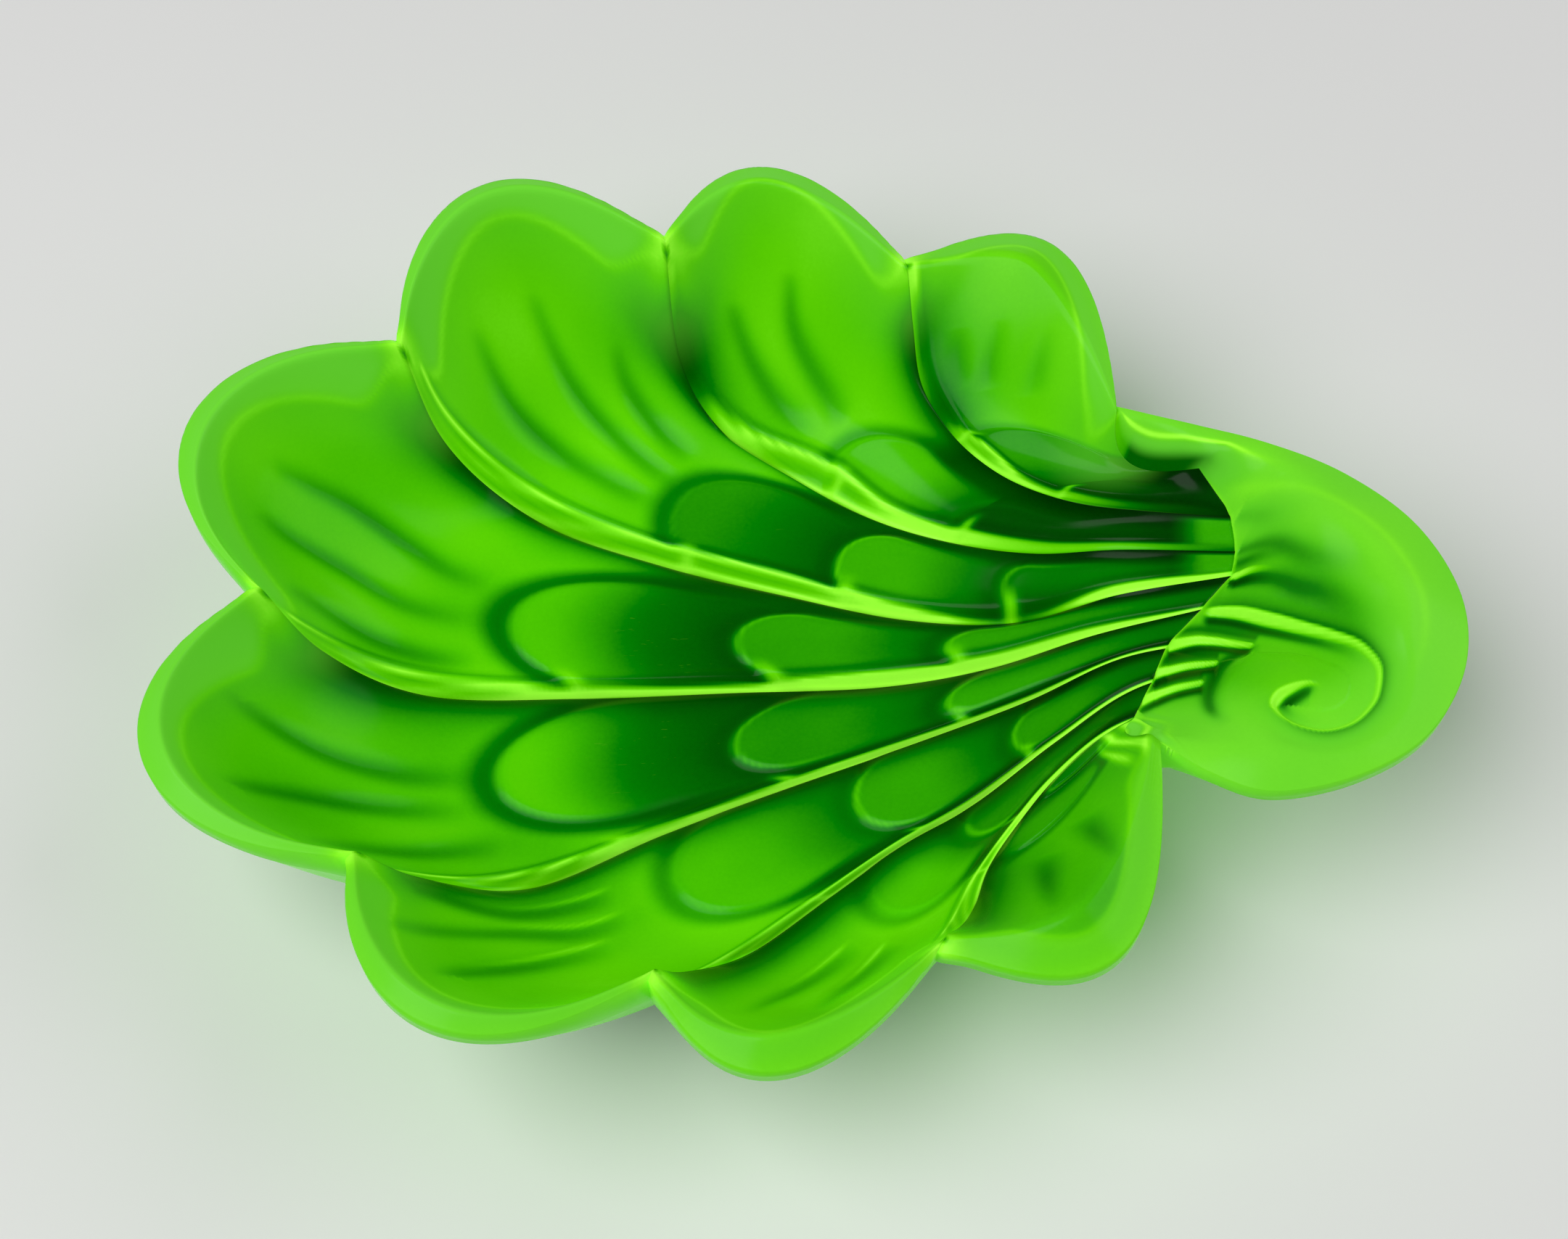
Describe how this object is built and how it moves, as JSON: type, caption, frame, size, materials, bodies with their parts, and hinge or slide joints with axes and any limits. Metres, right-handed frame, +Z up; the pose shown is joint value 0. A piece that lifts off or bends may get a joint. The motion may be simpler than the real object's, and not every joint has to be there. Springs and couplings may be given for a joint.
{
  "type": "pressed glass dish",
  "caption": "Shallow shell-shaped dish of pressed glass with scalloped lobes fanning from a throat and a scrolled handle at one end.",
  "frame": {"origin": "on the surface the dish stands on, under the middle of its box", "axes": "+X along the dish from the bowl towards the handle, +Y across it, +Z up out of the bowl"},
  "size_m": [0.188, 0.151, 0.0448],
  "materials": {
    "glass": "gloss, milky yellow-green"
  },
  "bodies": {
    "root": {"lobe_1": "glass", "lobe_2": "glass", "lobe_3": "glass", "lobe_4": "glass", "lobe_5": "glass", "lobe_6": "glass", "lobe_7": "glass", "lobe_8": "glass", "handle_crook": "glass", "handle_neck": "glass", "handle_volute": "glass"}
  },
  "joints": []
}
